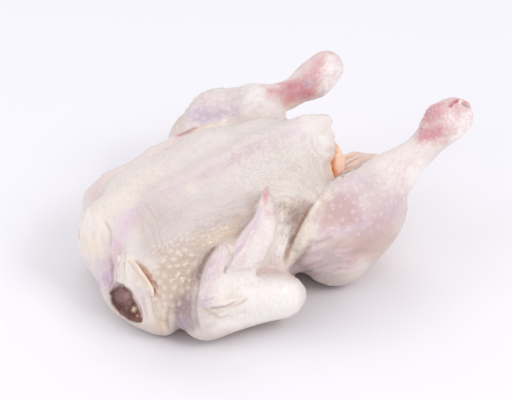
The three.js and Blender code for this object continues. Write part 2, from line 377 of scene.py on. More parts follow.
palette = {
    "skin": linear((224, 217, 212)),
    "cream": linear((240, 232, 221)),
    "pale": linear((250, 246, 244)),
    "pink": linear((232, 214, 212)),
    "rose": linear((226, 188, 190)),
    "mauve": linear((206, 174, 180)),
    "lilac": linear((218, 200, 214)),
    "purple": linear((184, 158, 190)),
    "orchid": linear((226, 196, 220)),
    "peach": linear((250, 220, 200)),
    "flesh": linear((238, 226, 210)),
    "apricot": linear((240, 198, 172)),
    "amber": linear((228, 150, 96)),
    # white is painted only as glints on wet skin.
    "white": linear((255, 255, 255)),
    "crimson": linear((200, 104, 122)),
    "red": linear((216, 136, 140)),
    "orange": linear((238, 180, 134)),
    "fat": linear((246, 226, 190)),
    "tan": linear((200, 172, 150)),
    # brown and dark are laid mostly as painted shade: in creases, in gaps, in the neck's hole and
    # beside the hand.
    "brown": linear((142, 102, 88)),
    "dark": linear((112, 76, 72)),
    "grey": linear((180, 166, 168)),
}


def paint(index, color, share):
    share = np.clip(share, 0, 1)[:, None]
    tint[index] = tint[index] * (1 - share) + palette[color] * share


# One mark along a line: raised is its height in mm, and below zero presses a crease.
def stroke(corners, width, raised=0.0, color=None, share=0.0, ends=0.2):
    index, far, place = along(trail(corners), width * 2.6)
    fade = ease(0, ends, np.minimum(place, 1 - place) + 1e-3)
    bell = fade * np.exp(-((far / width) ** 2))
    lift[index] += raised * bell
    if color:
        paint(index, color, share * bell)


# A soft ragged patch of colour round a point.
def patch(spot, radius, color, share, seed=1, raised=0.0, ragged=0.35):
    at, normal = spotAt(spot)
    off = rest - at
    index = np.nonzero((off**2).sum(axis=1) < (1.7 * radius) ** 2)[0]
    far = np.linalg.norm(off[index], axis=1) / radius
    far += ragged * cloud(rest[index], max(radius * 0.45, 1.5), seed)
    agree = ease(-0.1, 0.4, normals[index] @ normal)
    share = share * agree * (1 - ease(0.25, 1.15, far))
    paint(index, color, share)
    if raised:
        lift[index] += raised * share


# Many marks between two guide lines with the same number of points.
def comb(first, last, count, width, raised, color=None, share=0.0, seed=3, drift=0.18, ends=0.35):
    rng = np.random.default_rng(seed)
    first, last = np.array(first, dtype=float), np.array(last, dtype=float)
    for i in range(count):
        t = (i + rng.uniform(-drift, drift) * 2) / max(count - 1, 1)
        middle = first * (1 - t) + last * t
        middle += rng.normal(0, drift * 2.2, middle.shape)
        start, end = rng.uniform(0, 0.25), rng.uniform(0.75, 1)
        if len(middle) > 2:
            start, end = 0, 1
        whole = [middle[0] + (middle[-1] - middle[0]) * start, *middle[1:-1],
                 middle[0] + (middle[-1] - middle[0]) * end]
        stroke(whole, width * rng.uniform(0.8, 1.25), raised * rng.uniform(0.6, 1.2), color,
               share * rng.uniform(0.5, 1), ends)


# Weight of the shown skin inside an outline of the view, with a soft and ragged border.
def zone(outline, soft=5.0, ragged=0.5, seed=1):
    weight = np.zeros(len(rest))
    low = np.min(outline, axis=0) - soft * (1 + 2 * ragged)
    high = np.max(outline, axis=0) + soft * (1 + 2 * ragged)
    near = ((viewSpots > low) & (viewSpots < high)).all(axis=1) & (shown > 0)
    index = np.nonzero(near)[0]
    spots, at = viewSpots[index], rest[index]
    border = np.full(len(index), 1e9)
    for a, b in zip(outline, outline[1:] + outline[:1]):
        a, b = np.array(a, dtype=float), np.array(b, dtype=float)
        t = np.clip((spots - a) @ (b - a) / ((b - a) @ (b - a)), 0, 1)
        border = np.minimum(border, np.linalg.norm(spots - a - t[:, None] * (b - a), axis=1))
    border = np.where(inside(spots, outline), border, -border)
    border += ragged * soft * (cloud(at, 7, seed) + 0.6 * cloud(at, 2.6, seed + 9))
    weight[index] = ease(-soft, soft, border) * shown[index]
    return weight


def area(outline, color, share, soft=5.0, ragged=0.5, seed=1):
    weight = zone(outline, soft, ragged, seed)
    index = np.nonzero(weight)[0]
    paint(index, color, share * weight[index])


# Irregular fine folds in an outline of the view. Turn is the way they run, in degrees down
# from the right, and across and run are a fold's usual width and length in pixels. The colour,
# where given, is painted into the valleys as painted shade in the folds.
def wrinkles(outline, turn, across, run, depth, color=None, share=0.0, soft=6.0, seed=1, bend=3.0):
    weight = zone(outline, soft, 0.4, seed)
    index = np.nonzero(weight > 0.01)[0]
    spots = viewSpots[index]
    angle = np.radians(turn)
    ahead = spots @ (np.cos(angle), np.sin(angle))
    aside = spots @ (-np.sin(angle), np.cos(angle))
    aside = aside + bend * cloud(np.c_[spots / 16, 0 * ahead], 1, seed + 3)
    wave = cloud(np.c_[aside / across, ahead / run, 0 * ahead], 1, seed + 5)
    wave += 0.5 * cloud(np.c_[aside / across * 2.1, ahead / run * 1.7, 0 * ahead], 1, seed + 6)
    valley = np.clip(1 - np.abs(wave) * 1.8, 0, 1) ** 1.2
    crest = np.clip(wave, 0, 1)
    amount = weight[index]
    lift[index] += depth * amount * (0.6 * crest - valley)
    if color:
        paint(index, color, share * amount * valley)


tree = KDTree(len(rest))
for index, at in enumerate(rest):
    tree.insert(at, index)
tree.balance()


# Chosen points at least a gap apart, more of them where the weight is high.
def scatter(weight, gap, seed):
    rng = np.random.default_rng(seed)
    order = rng.permutation(np.nonzero(rng.uniform(0, 1, len(weight)) < weight)[0])
    free = np.ones(len(rest), dtype=bool)
    chosen = []
    for index in order:
        if free[index]:
            chosen.append(index)
            free[[i for _, i, _ in tree.find_range(rest[index], gap)]] = False
    return chosen


# Round follicle bumps at chosen points, each with its own size.
def bumps(centres, radius, raised, color, share, seed, rim=0.0):
    rng = np.random.default_rng(seed)
    for centre in centres:
        size = radius * rng.uniform(0.75, 1.2)
        height = raised * rng.uniform(0.6, 1.2)
        found = tree.find_range(rest[centre], size * 2.2)
        index = np.array([i for _, i, _ in found])
        far = np.array([d for _, _, d in found]) / size
        bell = np.exp(-(far**2) * 1.4)
        if rim:
            bell -= rim * np.exp(-((far - 1.35) ** 2) * 7)
        lift[index] += height * bell
        paint(index, color, share * np.exp(-(far**2) * 2))


print("tools done")


# Broad colours of both sides, by part.
everything = np.arange(len(rest))
x, y, z = rest.T
mottle = cloud(rest, 14, 1)
fine = cloud(rest, 5, 2)
tint[:] = palette["skin"]
paint(everything, "pink", 0.15 + 0.25 * mottle)
paint(everything, "cream", 0.15 + 0.35 * cloud(rest, 22, 4))
paint(everything, "tan", ease(30, 5, z) * 0.3)
paint(everything, "grey", ease(16, 2, z) * 0.25)

for side in (-1, 1):
    patch((24, side * 80, 45), 30, "mauve", 0.7, 11)
    patch((5, side * 74, 40), 17, "rose", 0.5, 12)
    patch((60, side * 70, 62), 20, "pale", 0.7, 13)

for hock in ((102, -63, 89), (105, 62, 70)):
    far = np.linalg.norm(rest - np.array(hock), axis=1)
    paint(everything, "rose", 0.6 * ease(24, 12, far + 3 * fine))
print("broad colours done")


# The breast. Its near half is greyer, and tan where the wing lies against it, with painted shade in
# brown along the hand's edge.
area([(150, 205), (205, 190), (255, 190), (262, 200), (240, 232), (215, 255), (196, 300),
      (160, 300), (150, 262), (138, 240)], "grey", 0.3, 12)
area([(155, 250), (205, 232), (240, 212), (262, 195), (246, 226), (212, 255), (196, 290),
      (190, 312), (158, 312), (150, 280)], "tan", 0.55, 12)
# Painted shade: brown where the hand shades the breast beside it.
area([(244, 206), (262, 192), (255, 212), (234, 242), (208, 260), (199, 284), (193, 280),
      (203, 252), (226, 236)], "brown", 0.22, 6)
area([(200, 236), (232, 224), (236, 232), (208, 250)], "fat", 0.3, 8)
area([(296, 118), (334, 113), (338, 140), (322, 150), (290, 140)], "pale", 0.6, 10)
area([(331, 136), (338, 140), (337, 158), (331, 176), (327, 170)], "fat", 0.45, 4)
area([(120, 230), (133, 208), (165, 184), (206, 164), (240, 148), (262, 133), (300, 123),
      (302, 135), (264, 146), (240, 162), (206, 179), (165, 197), (136, 219), (124, 240)],
     "lilac", 0.5, 8, 0.6, seed=20)
area([(126, 224), (165, 188), (206, 170), (240, 154), (262, 139), (262, 145), (206, 175),
      (165, 193), (130, 226)], "mauve", 0.3, 7, 0.8, seed=21)
area([(111, 248), (113, 228), (121, 214), (133, 206), (134, 218), (126, 232), (121, 250)],
     "orchid", 0.4, 6, 0.9, seed=19)

# Cream lobe of skin over the neck, purple beneath it, and the folds that lead to the hole.
area([(80, 208), (102, 206), (109, 230), (108, 262), (92, 266), (78, 244)], "cream", 0.6, 8)
patch((87, 222), 11, "pale", 0.45, 26)
area([(96, 262), (112, 258), (116, 276), (112, 290), (98, 292), (90, 280)], "lilac", 0.5, 5, 0.9)
patch((106, 279), 5, "purple", 0.55, 22)
patch((99, 284), 3.6, "purple", 0.55, 27)
stroke([(114, 256), (112, 266), (109, 277)], 1.5, 0, "purple", 0.4)
area([(112, 240), (122, 238), (122, 256), (112, 262)], "rose", 0.3, 5, 0.9)
# The tan and brown in the creases below are painted shade as well as pressed relief.
stroke([(102.4, 218.5), (107, 224.7), (110, 231), (110.7, 240), (109.5, 250)], 0.8, -0.4,
       "tan", 0.5)
stroke([(104, 216), (109, 222), (112, 230)], 0.8, 0.3, "cream", 0.3)
stroke([(80, 228), (79, 234), (79.5, 241)], 0.9, -0.3, "brown", 0.4)
comb([(82, 230), (89, 262)], [(104, 228), (106, 262)], 10, 0.9, 0.22, "fat", 0.3, 5)
stroke([(109, 256), (112, 268), (112, 280), (110, 290)], 1.1, -0.7, "brown", 0.3)
stroke([(117, 258), (119, 270), (118, 282)], 1.5, -0.5, "rose", 0.35)
stroke([(122, 262), (124, 274), (122, 286)], 1.4, -0.4, "rose", 0.25)
area([(117, 255), (134, 259), (132, 288), (118, 286)], "cream", 0.75, 4)

# The hole of the neck, its inside painted brown and dark as the shade in it, with the cut neck and
# bits of fat in it.
holeOutline = [(111, 293.5), (115, 290.5), (120, 288.5), (124.5, 287.5), (128, 289.5), (131, 293.5),
               (134, 298.5), (137, 304), (140, 310), (142.5, 316), (141, 321), (135, 323),
               (128, 320), (121, 313), (114, 303)]
hole = zone(holeOutline, 2.2, 0.75)
lift -= 1.2 * hole
# Painted shade: brown and dark over the inside of the hole.
paint(everything, "brown", 0.95 * hole)
paint(everything, "dark", 0.85 * hole * ease(-0.5, 0.4, cloud(rest, 4, 68)))
patch((122, 295), 5, "mauve", 0.5, 67, 1.5)
patch((128, 303), 3.4, "brown", 0.6, 66, 1.8)
patch((134, 309), 2, "fat", 0.9, 68, 1.0)
patch((137, 314.5), 1.6, "orange", 0.9, 69, 1.0)
stroke([(131, 291), (136, 300), (141, 311), (144, 320)], 1.3, 0.6, "rose", 0.35)

# The skin beside it: its inner side, its cut edge, and the folds under the flap.
area([(134, 290), (149, 294), (151, 316), (146, 323), (139, 307)], "pink", 0.6, 2.5)
# Painted shade: tan in this crease.
stroke([(143, 294), (144, 305), (147, 320)], 1.2, -0.6, "tan", 0.35)
stroke([(150, 296), (151, 311), (153, 327)], 2.0, 1.0, "cream", 0.5, 0.2)
area([(152, 297), (170, 300), (172, 322), (162, 336), (153, 328)], "tan", 0.3, 5)
patch((165, 309), 6, "cream", 0.45, 93)
area([(154, 314), (170, 312), (170, 328), (160, 334)], "fat", 0.35, 4)
# Painted shade: grey over the body skin in the wing's shade, brown in its middle and in the creases
# below.
area([(172, 298), (194, 292), (194, 332), (174, 334)], "grey", 1, 6)
area([(176, 296), (192, 290), (192, 312), (178, 316)], "mauve", 0.3, 5, 0.9)
patch((185, 304), 9, "brown", 0.3, 95)
patch((183, 322), 5, "purple", 0.4, 28)
stroke([(171, 304), (167, 318), (170, 332)], 1.2, -0.7, "brown", 0.4)
stroke([(158, 318), (164, 322), (169, 321)], 0.9, -0.4, "brown", 0.3)
# Painted shadow of the neck flap on the skin right of its free edge: tan, orange and brown.
area([(136, 261), (143, 265), (159, 290), (162, 298), (152, 298), (140, 276)], "tan", 0.7, 2.5)
area([(148, 278), (156, 284), (162, 296), (156, 298), (150, 288)], "orange", 0.3, 3)
stroke([(139, 262), (145, 270), (152.5, 280), (158, 291)], 1.2, -0.5, "brown", 0.3, 0.25)
stroke([(142, 265), (149, 275), (157, 287)], 1.2, 0, "orange", 0.4, 0.3)

# The near wing.
handOutline = [(266, 185), (269, 194), (274, 204), (276, 220), (273, 238), (268, 249),
               (262, 261), (248, 268), (234, 271), (228, 262), (232, 250), (238, 239), (245, 229),
               (253, 219), (258, 207), (262, 196)]
lift += 1.4 * zone(handOutline, 2.0, 0.3)
area(handOutline, "pink", 0.6, 3)
area([(262, 186), (269, 190), (270, 196), (264, 198)], "pale", 0.3, 2)
area([(262, 204), (270, 208), (274, 222), (271, 240), (260, 258), (244, 264), (246, 248),
      (256, 230)], "pale", 0.6, 5, seed=41)
area([(258, 206), (264, 202), (262, 220), (250, 238), (238, 254), (231, 256), (240, 238)],
     "lilac", 0.35, 4, 0.9, seed=42)
stroke([(262, 204), (256, 220), (250, 233), (243, 243)], 1.5, 0.5, "purple", 0.18, 0.2)
stroke([(247, 238), (240, 247), (234, 255), (230, 261)], 1.2, -0.9, "purple", 0.4, 0.35)
patch((267, 214), 3.5, "red", 0.35, 29)
area([(204, 272), (212, 256), (222, 244), (228, 246), (231, 252), (228, 266), (222, 280),
      (206, 292)], "pink", 0.5, 4)
area([(202, 280), (210, 262), (222, 246), (224, 256), (214, 274), (206, 292)], "lilac", 0.45, 4)
patch((211, 262), 3.5, "mauve", 0.5, 30)
patch((207, 300), 6, "lilac", 0.45, 33)
patch((199, 299), 6, "pink", 0.5, 96)
patch((201, 304), 4, "purple", 0.25, 31)
area([(214, 278), (250, 272), (300, 282), (304, 300), (290, 326), (214, 330)], "pale", 0.85, 7)
area([(214, 284), (234, 282), (244, 300), (232, 316), (212, 318)], "cream", 0.5, 6)
area([(264, 187), (267.5, 187), (268.5, 196), (263.5, 200)], "crimson", 0.45, 1.5, 0.3)
stroke([(266, 190), (265, 200), (264, 212)], 1.2, 0, "red", 0.4, 0.3)
# Painted shade: brown and dark along the hand's left edge and in the crease between the alula and
# the hand.
stroke([(256, 205), (248, 220), (238, 232), (231, 242)], 2.2, -0.8, "brown", 0.4, 0.25)
stroke([(232, 248), (230.5, 258), (227, 268), (224, 276)], 1.2, -1.7, "dark", 0.45)
stroke([(223, 243), (228, 245), (231, 249), (230, 258), (227, 267)], 1.2, 0.5, "cream", 0.7, 0.1)
stroke([(226, 246), (229, 250), (228, 256)], 0.8, 0, "orange", 0.4)
# Painted shade: brown along the wing's edge against the body, and brown and tan in the wrist's
# creases below.
stroke([(221, 242), (208, 257), (200, 275), (196.5, 292), (195, 306), (197, 322), (202, 336)],
       1.5, -1.0, "brown", 0.3, 0.12)
stroke([(207, 309), (218, 309), (229, 306.5), (237, 302)], 1.0, -1.0, "brown", 0.45)
stroke([(200, 304), (210, 314), (222, 318), (232, 312)], 1.2, -0.8, "tan", 0.4)
stroke([(204, 324), (214, 318), (226, 317)], 1.4, 0.7, "cream", 0.4)
stroke([(232, 309), (243, 302), (250, 297)], 1.2, -0.7, "tan", 0.4)
stroke([(254, 273), (264, 270.5), (276, 271), (286, 274)], 1.0, -1.2, "red", 0.25)
stroke([(258, 275), (270, 273), (284, 276), (297, 282)], 0.9, 0.4, "rose", 0.25)
stroke([(238, 268), (248, 266), (254, 272), (250, 280)], 1.4, 0.7, "cream", 0.5)

# The web of skin between the wing and the breast, and the ridge of skin against the leg.
area([(274, 262), (278, 216), (290, 214), (291, 240), (284, 264)], "pale", 0.55, 5)
# Painted shade: brown in the darkest part of the web, next to the leg.
area([(290, 206), (305, 201), (308, 208), (298, 230), (289, 238), (286, 222)], "brown", 0.45, 5)
area([(276, 202), (292, 196), (304, 200), (292, 214), (280, 216)], "tan", 0.35, 5)
area([(262, 262), (284, 256), (290, 268), (284, 272), (256, 270)], "rose", 0.25, 4)
strip = [(325, 191), (331, 202), (319, 222), (310, 240), (298, 261), (287, 266), (287, 254),
         (295, 234), (305, 213)]
lift += 1.0 * zone(strip, 3, 0.2)
area(strip, "cream", 0.6, 4)
area(strip, "fat", 0.15, 6, 0.9, seed=43)
# Painted shade: brown beside the ridge's top, in the deep crease along its left side, and along its
# right edge as its shadow.
area([(300, 204), (310, 200), (310, 222), (298, 228)], "brown", 0.3, 5)
kneeFold = [(317, 198), (308, 209), (299, 225), (291, 242), (287, 254), (283, 266)]
stroke(kneeFold, 1.5, -1.6, "brown", 0.7, 0.15)
stroke(kneeFold[1:], 0.8, 0, "orange", 0.2, 0.2)
stroke([(314, 236), (309, 245), (300, 259), (292, 269)], 1.6, -1.2, "brown", 0.4)
stroke([(290, 250), (288, 262), (286, 270)], 1.0, 0.6, "peach", 0.4)

# The near leg.
area([(336, 180), (372, 166), (398, 168), (422, 190), (422, 226), (380, 240), (344, 228),
      (334, 206)], "mauve", 0.42, 14, 0.8)
area([(322, 202), (334, 192), (350, 192), (360, 206), (358, 222), (345, 230), (324, 230),
      (318, 218)], "mauve", 0.85, 10, 0.7, seed=5)
area([(322, 200), (352, 194), (360, 214), (340, 232), (318, 226)], "tan", 0.35, 9)
patch((341, 205), 9, "mauve", 0.5, 98)
patch((356, 182), 11, "lilac", 0.4, 48)
patch((392, 206), 12, "lilac", 0.35, 49)
area([(372, 164), (404, 150), (434, 142), (436, 152), (424, 178), (404, 192), (388, 186)],
     "pale", 0.45, 14)
area([(330, 236), (392, 226), (412, 236), (380, 266), (334, 252)], "tan", 0.5, 9)
area([(312, 244), (345, 238), (356, 256), (332, 276), (310, 272)], "mauve", 0.5, 8, 0.8)
area([(314, 252), (338, 248), (338, 266), (318, 270)], "grey", 0.4, 6, 0.9)
# Painted shade: mauve where the ridge of skin shades the leg.
area([(294, 256), (312, 244), (318, 262), (308, 282), (290, 280), (286, 270)], "mauve", 0.45, 5)
stroke([(324, 230), (340, 232), (356, 228), (374, 220)], 3, 0, "lilac", 0.45)
# Painted shade: brown in this crease.
stroke([(312, 243), (322, 241), (334, 237)], 1.2, -0.6, "brown", 0.3)

# The near hock, and its cut end.
area([(424, 100), (440, 94), (462, 98), (464, 120), (446, 144), (418, 144)], "rose", 0.45, 6, 0.9)
area([(420, 120), (423, 107), (433, 99), (441, 104), (440, 118), (430, 123)], "crimson", 0.45, 5,
     0.9)
area([(414, 136), (420, 128), (438, 128), (444, 136), (432, 143), (418, 143)], "crimson", 0.58, 5,
     0.9, seed=7)
patch((429, 112), 3.4, "purple", 0.3, 46)
patch((444, 118), 5, "red", 0.12, 47)
patch((452, 118), 6, "pale", 0.5, 73)
area([(462, 112), (474, 106), (474, 130), (456, 146), (450, 142)], "pale", 0.8, 5)
stroke([(451, 94), (456, 96), (459, 101)], 1.2, -1.0, "crimson", 0.9)
stroke([(455, 99), (458, 103)], 1.0, -0.8, "crimson", 0.8)
stroke([(461, 103), (466, 104.5), (470, 108)], 1.1, -1.2, "brown", 0.8)
stroke([(463, 101.5), (468, 103), (472, 107)], 0.9, 0.5, "crimson", 0.6)
stroke([(459, 105), (461, 99)], 0.9, 0.9, "pale", 0.8)

# The vent, and the folds of fat in it.
ventFolds = [(343, 157), (350, 153), (362, 151), (378, 154), (362, 164), (348, 171), (337, 177),
             (338, 166)]
lift += 1.2 * zone(ventFolds, 2, 0.2)
area(ventFolds, "peach", 1, 2)
area([(336, 146), (340, 148), (343, 157), (341, 168), (335, 178), (332, 172), (335, 158)],
     "orange", 0.8, 1.5)
lift += 3.4 * zone([(322, 138), (332, 130), (334, 146), (334, 160), (324, 162)], 4, 0.1)
# Painted shade in the creases between the folds of fat, and painted highlight in pale on their
# ridges.
for crease in ([(335, 168), (341, 164), (348, 159), (356, 156)],
               [(336, 172), (344, 167), (354, 162), (366, 158)],
               [(337, 176), (345, 171), (354, 167)]):
    stroke(crease, 0.9, -0.6, "amber", 0.35, 0.2)
for ridge in ([(340, 161), (347, 156), (356, 153), (366, 154)],
              [(338, 169.5), (346, 163), (356, 159), (368, 156)],
              [(340, 173), (350, 167), (360, 162)]):
    stroke(ridge, 1.0, 0.6, "pale", 0.6, 0.3)
# Painted shade: brown along the breast's end, next to the folds.
stroke([(336, 152), (334.5, 162), (332.5, 172)], 0.9, -0.8, "brown", 0.7)

# The far leg.
area([(176, 106), (200, 96), (250, 90), (252, 108), (206, 124), (184, 124)], "lilac", 0.35, 8)
area([(188, 113), (206, 108), (238, 108), (240, 118), (206, 125), (192, 123)], "purple", 0.5, 6,
     0.9)
area([(166, 112), (180, 104), (186, 118), (180, 128), (168, 134)], "tan", 0.4, 5)
area([(246, 86), (280, 84), (278, 110), (242, 114)], "pale", 0.7, 8)
area([(268, 84), (300, 80), (320, 84), (312, 103), (286, 103), (270, 96)], "red", 0.4, 7, 0.9)
area([(282, 82), (304, 78), (314, 84), (306, 100), (288, 100)], "crimson", 0.62, 6, 0.9)
patch((307, 83), 3.4, "purple", 0.7, 74)
patch((313, 80), 3, "mauve", 0.6, 76)
patch((311, 92), 4, "red", 0.6, 75)
area([(298, 78), (314, 58), (328, 52), (328, 74), (314, 90)], "rose", 0.7, 6, 0.8)
area([(328, 56), (346, 56), (344, 84), (326, 98), (320, 90)], "pale", 1, 6)
area([(284, 102), (310, 100), (306, 112), (286, 114)], "orange", 0.25, 5)
stroke([(320, 50), (329, 47.5), (338, 49.5), (344, 57)], 0.9, -0.4, "crimson", 0.8)
patch((335, 76), 5, "pale", 0.8, 94)
stroke([(264, 91), (274, 91), (286, 93)], 2.4, 0, "crimson", 0.4)
patch((297, 92), 5, "mauve", 0.35, 97)
comb([(284, 86), (281, 98)], [(316, 62), (322, 80)], 9, 0.8, 0.25, "crimson", 0.25, 77)

# The far wing, which shows as a strip, and the fat beside it.
area([(86, 198), (96, 178), (130, 154), (168, 136), (198, 122), (204, 126), (170, 145), (134, 163),
      (104, 184), (92, 202)], "rose", 0.2, 3)
stroke([(172, 138), (184, 132.5), (200, 126.5)], 2.6, -0.3, "crimson", 0.45)
stroke([(176, 136), (190, 130.5), (200, 127)], 2.0, 0, "brown", 0.55)
stroke([(190, 132), (202, 128.5), (220, 124.5)], 1.2, 0, "fat", 0.6)
print("details done")


# Wrinkles, with painted shade in their valleys.
wrinkles([(196, 214), (262, 190), (258, 212), (236, 240), (206, 244), (190, 230)], -9, 3.4, 34,
         0.3, "brown", 0.15, seed=101)
wrinkles([(132, 214), (148, 200), (162, 212), (172, 246), (160, 258), (144, 246)], 60, 2.8, 40,
         0.35, "tan", 0.35, seed=102)
wrinkles([(300, 138), (334, 126), (334, 176), (322, 200), (304, 200), (300, 170)], 66, 3.2, 26,
         0.4, "tan", 0.25, seed=103, bend=5.0)
wrinkles([(264, 180), (300, 160), (318, 190), (306, 212), (290, 214), (268, 196)], 20, 3.0, 20,
         0.35, "tan", 0.22, seed=104, bend=5.0)
wrinkles([(225, 150), (290, 132), (300, 170), (262, 190), (225, 190)], -24, 3.0, 6, 0.35,
         "tan", 0.2, seed=105)
wrinkles([(150, 186), (228, 160), (226, 200), (150, 230)], -25, 3.6, 12, 0.2, "tan", 0.15,
         seed=106)
wrinkles([(100, 190), (230, 125), (320, 116), (260, 140), (130, 205)], 20, 4, 12, 0.16,
         "tan", 0.12, seed=107)
wrinkles([(78, 206), (106, 204), (112, 240), (108, 266), (88, 264), (76, 236)], 78, 3.4, 24,
         0.2, "tan", 0.18, seed=108)
wrinkles([(104, 252), (128, 250), (128, 262), (126, 288), (104, 292)], 84, 3.2, 22, 0.6,
         "mauve", 0.3, seed=109)
wrinkles([(240, 262), (248, 244), (262, 212), (274, 208), (274, 236), (262, 262)], 30, 2.6, 9,
         0.25, "rose", 0.2, seed=110, bend=3.0)
wrinkles([(198, 300), (204, 272), (222, 244), (230, 250), (222, 280), (216, 312)], -62, 3.4, 14,
         0.4, "mauve", 0.12, seed=111)
wrinkles([(214, 276), (250, 274), (304, 284), (300, 306), (252, 322), (212, 322)], 80, 2.8, 10,
         0.18, "tan", 0.1, seed=112)
wrinkles([(200, 296), (238, 290), (246, 316), (206, 328)], -14, 4.6, 24, 0.6, "tan", 0.25,
         seed=113)
wrinkles([(270, 208), (300, 200), (298, 236), (286, 270), (266, 266), (276, 236)], 104, 4.2, 11,
         0.4, "tan", 0.2, seed=114, bend=3.0)
wrinkles([(274, 202), (306, 196), (302, 226), (288, 244), (278, 236)], 108, 3.0, 13, 0.4,
         "brown", 0.28, seed=125, bend=3.0)
# Painted shade: brown in the deep crease beside the knee.
patch((298, 215), 6, "brown", 0.35, 99)
wrinkles([(296, 246), (336, 240), (380, 254), (340, 282), (292, 282)], -14, 4.4, 30, 0.6,
         "brown", 0.2, seed=115)
wrinkles([(318, 180), (400, 150), (410, 220), (340, 240), (312, 232)], -38, 4.5, 14, 0.22,
         "mauve", 0.15, seed=116)
wrinkles(strip, 112, 3.4, 24, 0.22, "tan", 0.15, seed=117)
wrinkles([(416, 112), (440, 94), (470, 100), (474, 128), (440, 148), (410, 146)], 130, 3.0, 5,
         0.3, "red", 0.25, seed=118)
wrinkles([(390, 160), (420, 142), (436, 152), (404, 192)], -60, 3.4, 14, 0.3, "rose", 0.3,
         seed=119)
wrinkles([(168, 104), (240, 82), (300, 78), (310, 100), (240, 114), (180, 128)], -18, 4.5, 14,
         0.25, "mauve", 0.2, seed=121)
wrinkles([(286, 84), (330, 48), (346, 60), (336, 92), (300, 108)], -50, 3.4, 8, 0.35, "crimson",
         0.22, seed=122)
wrinkles([(150, 300), (172, 304), (178, 332), (160, 338)], 74, 4, 20, 0.4, "brown", 0.2,
         seed=123)
wrinkles([(172, 300), (194, 300), (196, 334), (174, 334)], 60, 3.4, 12, 0.35, "brown", 0.25,
         seed=124)
print("wrinkles done")


# Goosebumps.
bumpZone = zone([(150, 262), (162, 236), (205, 222), (236, 212), (232, 222), (198, 252),
                 (186, 300), (180, 316), (154, 314), (152, 290)], 6)
bigZone = zone([(154, 264), (176, 252), (192, 256), (192, 272), (187, 290), (180, 306),
                (164, 308), (155, 294)], 5)
bumps(scatter(bumpZone * (1 - bigZone), 3.0, 51), 1.2, 0.34, "cream", 0.25, 52, rim=0.1)
# Painted shade: tan between the big goosebumps.
paint(everything, "tan", 0.3 * bigZone)
bumps(scatter(bigZone, 4.2, 61), 2.0, 0.6, "cream", 0.5, 62, rim=0.15)
legZone = zone([(332, 188), (390, 166), (412, 180), (408, 212), (385, 232), (340, 236),
                (314, 235), (320, 200)], 8)
legTop = zone([(346, 182), (392, 165), (412, 172), (404, 196), (352, 204)], 8)
bumps(scatter(legZone * (0.15 + 0.85 * legTop), 4.6, 53), 1.6, 0.6, "pale", 0.3, 54)
goosebumps = {
    "farLeg": {
        "outline": [(172, 108), (200, 96), (250, 86), (250, 108), (206, 122), (178, 124)],
        "soft": 6, "gap": 4.6, "radius": 1.6, "raised": 0.6, "rim": 0.0,
        "color": "pale", "share": 0.3, "seed": 55,
    },
    "breastPores": {
        "outline": [(110, 200), (150, 160), (240, 120), (300, 118), (250, 140), (200, 165),
                    (150, 195), (120, 220)],
        "soft": 6, "gap": 7, "radius": 0.6, "raised": -0.12, "rim": 0.0,
        "color": "tan", "share": 0.4, "seed": 57,
    },
    "breastRows": {
        "outline": [(225, 160), (270, 142), (300, 136), (312, 160), (300, 180), (262, 180),
                    (225, 185)],
        "soft": 6, "gap": 2.8, "radius": 1.0, "raised": 0.35, "rim": 0.3,
        "color": "pale", "share": 0.25, "seed": 59,
    },
    "arm": {
        "outline": [(258, 282), (300, 286), (296, 310), (246, 312)],
        "soft": 5, "gap": 3.0, "radius": 1.0, "raised": 0.35, "rim": 0.0,
        "color": "pale", "share": 0.2, "seed": 63,
    },
    "armPits": {
        "outline": [(238, 276), (262, 278), (262, 287), (236, 288)],
        "soft": 3, "gap": 3.6, "radius": 1.0, "raised": -0.45, "rim": 0.6,
        "color": "tan", "share": 0.3, "seed": 65,
    },
    "thumb": {
        "outline": [(200, 300), (206, 272), (222, 246), (229, 252), (222, 278), (210, 304)],
        "soft": 4, "gap": 3.0, "radius": 1.0, "raised": 0.25, "rim": 0.2,
        "color": "pale", "share": 0.15, "seed": 79,
    },
    "hock": {
        "outline": [(418, 112), (440, 96), (466, 100), (470, 124), (440, 146), (414, 144)],
        "soft": 5, "gap": 2.8, "radius": 1.1, "raised": 0.4, "rim": 0.0,
        "color": "pale", "share": 0.15, "seed": 81,
    },
    "strip": {
        "outline": strip,
        "soft": 4, "gap": 4.2, "radius": 1.1, "raised": 0.25, "rim": 0.0,
        "color": "cream", "share": 0.3, "seed": 83,
    },
}
for group in goosebumps.values():
    chosen = scatter(zone(group["outline"], group["soft"]), group["gap"], group["seed"])
    bumps(chosen, group["radius"], group["raised"], group["color"], group["share"],
          group["seed"] + 1, group["rim"])
print("goosebumps done")


# Where the skin is wet enough to glint, and small raised specks on it painted white as glints.
wetZone = zone([(150, 244), (165, 224), (215, 205), (250, 200), (205, 262), (185, 290),
                (160, 285)], 9)
wet += 0.7 * wetZone
wet += 0.25 * zone([(262, 180), (300, 165), (312, 190), (300, 212), (268, 205)], 8)
wet += 0.3 * zone([(196, 250), (222, 240), (272, 205), (272, 250), (215, 290), (196, 300)], 8)
glintSpeckZone = zone([(154, 250), (168, 240), (200, 236), (212, 240), (204, 258), (188, 276),
                 (164, 274)], 6)
bumps(scatter(glintSpeckZone, 3.0, 85), 0.4, 0.12, "white", 0.75, 86)
# Painted highlights: white glint specks on the leg as well.
legGlintSpecks = zone([(330, 196), (344, 192), (348, 204), (332, 208)], 3)
bumps(scatter(legGlintSpecks, 5, 89), 0.4, 0.12, "white", 0.7, 90)


